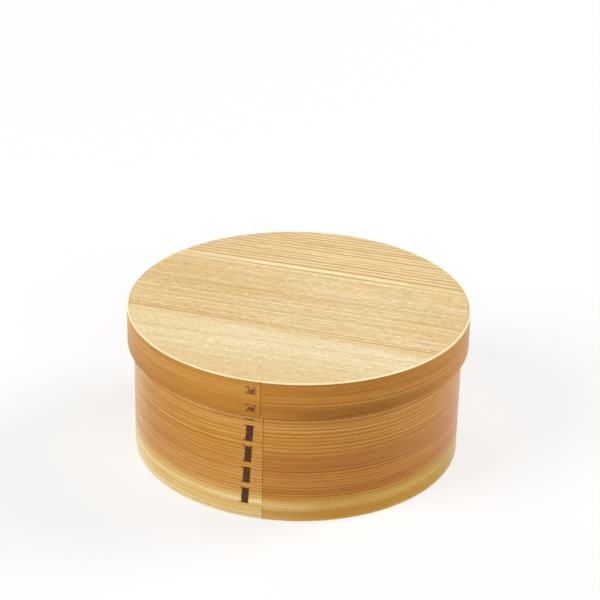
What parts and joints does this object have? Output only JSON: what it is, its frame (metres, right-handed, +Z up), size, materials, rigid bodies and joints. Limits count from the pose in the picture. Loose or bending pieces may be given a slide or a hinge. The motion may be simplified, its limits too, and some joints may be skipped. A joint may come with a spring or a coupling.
{
  "type": "bentwood rice tub with lid",
  "caption": "Round bentwood cedar tub for cooked rice, with lapped and bark-sewn bands, boarded floor and a lift-off lid whose skirt drops over the rim.",
  "frame": {"origin": "on the tub's axis, in the plane that its foot ring stands on", "axes": "+Z up along the tub's axis, -Y to the front, where the bands' sewn laps are, +X to the right seen from the front"},
  "size_m": [0.212, 0.212, 0.095],
  "materials": {
    "cedar_band": "satin, bent with the grain along the band",
    "cedar_board": "satin, planed with straight grain",
    "cherry_bark": "satin bark",
    "bamboo": "matte"
  },
  "bodies": {
    "tub": {"tub_band": "cedar_band", "tub_bark_lacing": "cherry_bark", "tub_floor_board_back": "cedar_board", "tub_floor_board_middle": "cedar_board", "tub_floor_board_front": "cedar_board", "tub_floor_pins": "bamboo"},
    "lid": {"lid_band": "cedar_band", "lid_bark_lacing": "cherry_bark", "lid_top_board_back": "cedar_board", "lid_top_board_middle": "cedar_board", "lid_top_board_front": "cedar_board", "lid_top_pins": "bamboo"}
  },
  "joints": [
    {"name": "lid_lift", "type": "slide", "parent": "tub", "child": "lid", "axis": [0, 0, 1], "range_m": [0, 0.08]}
  ]
}
